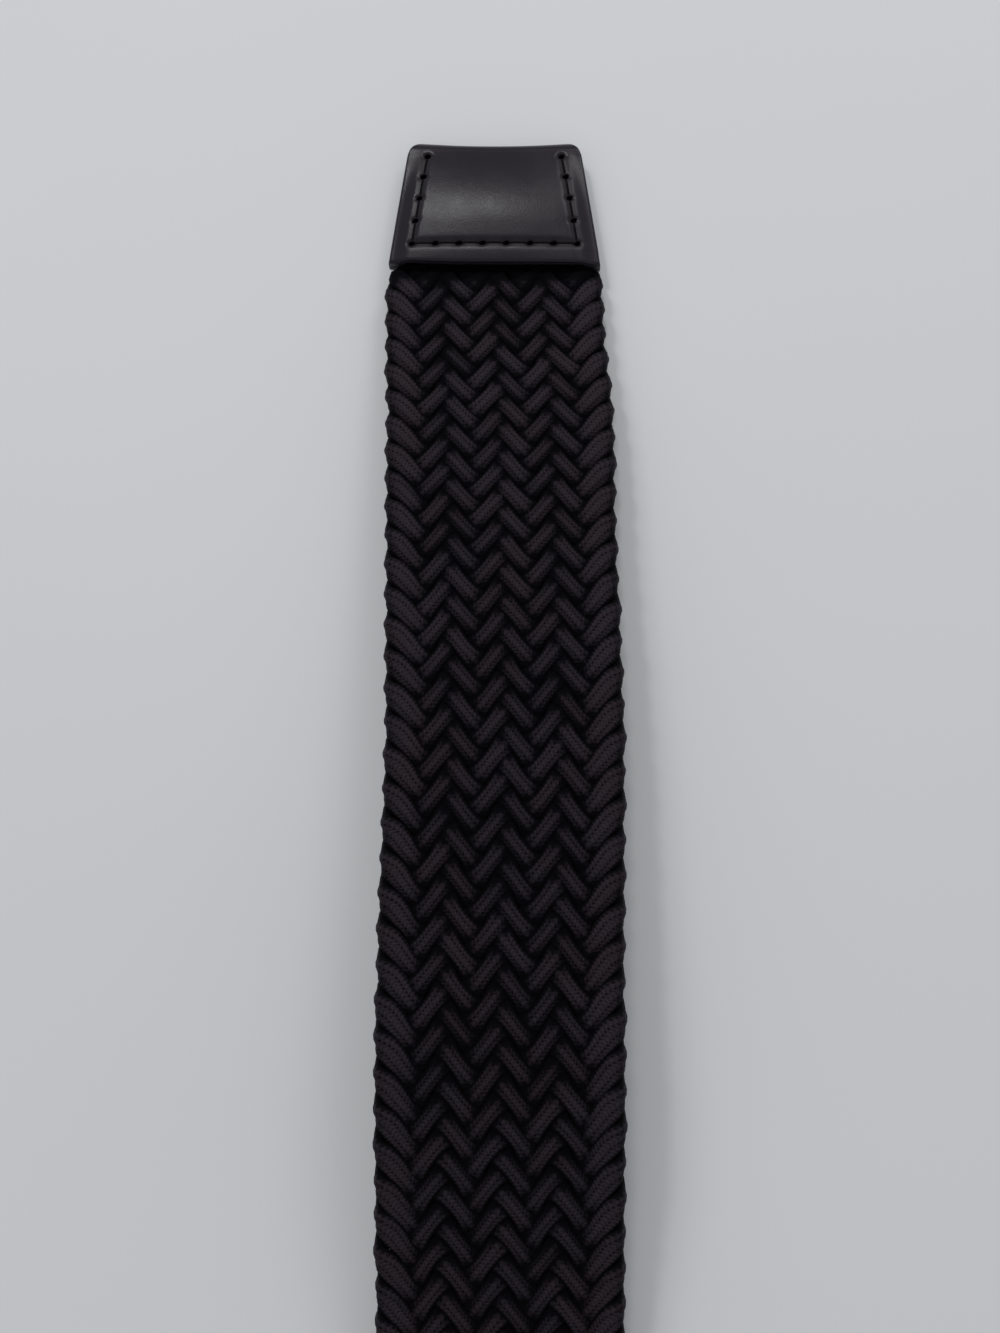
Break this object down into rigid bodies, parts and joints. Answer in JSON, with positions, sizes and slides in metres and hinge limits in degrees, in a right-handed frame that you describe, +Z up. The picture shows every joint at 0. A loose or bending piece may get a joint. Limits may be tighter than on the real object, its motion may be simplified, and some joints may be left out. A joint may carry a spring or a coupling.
{
  "type": "braided belt",
  "caption": "Flat braided stretch belt with a short stitched leather tip, a folded leather tab and a plain frame buckle, lying straight with a low arch behind its tip.",
  "frame": {"origin": "on the surface that the belt lies on, half way along it and in the middle of its width", "axes": "+Z up from the surface, +Y along the belt towards the leather tip, +X across the belt"},
  "size_m": [0.048, 1, 0.0173],
  "materials": {
    "elastic_cord": "matte braided textile cord, near black with a faint brown and purple cast",
    "leather": "satin fine-grained black leather with dark painted edges",
    "buckle_metal": "satin dark plated zinc alloy"
  },
  "bodies": {
    "root": {"braid": "elastic_cord", "tip_leather": "leather", "tab_leather": "leather", "buckle": "buckle_metal"}
  },
  "joints": []
}
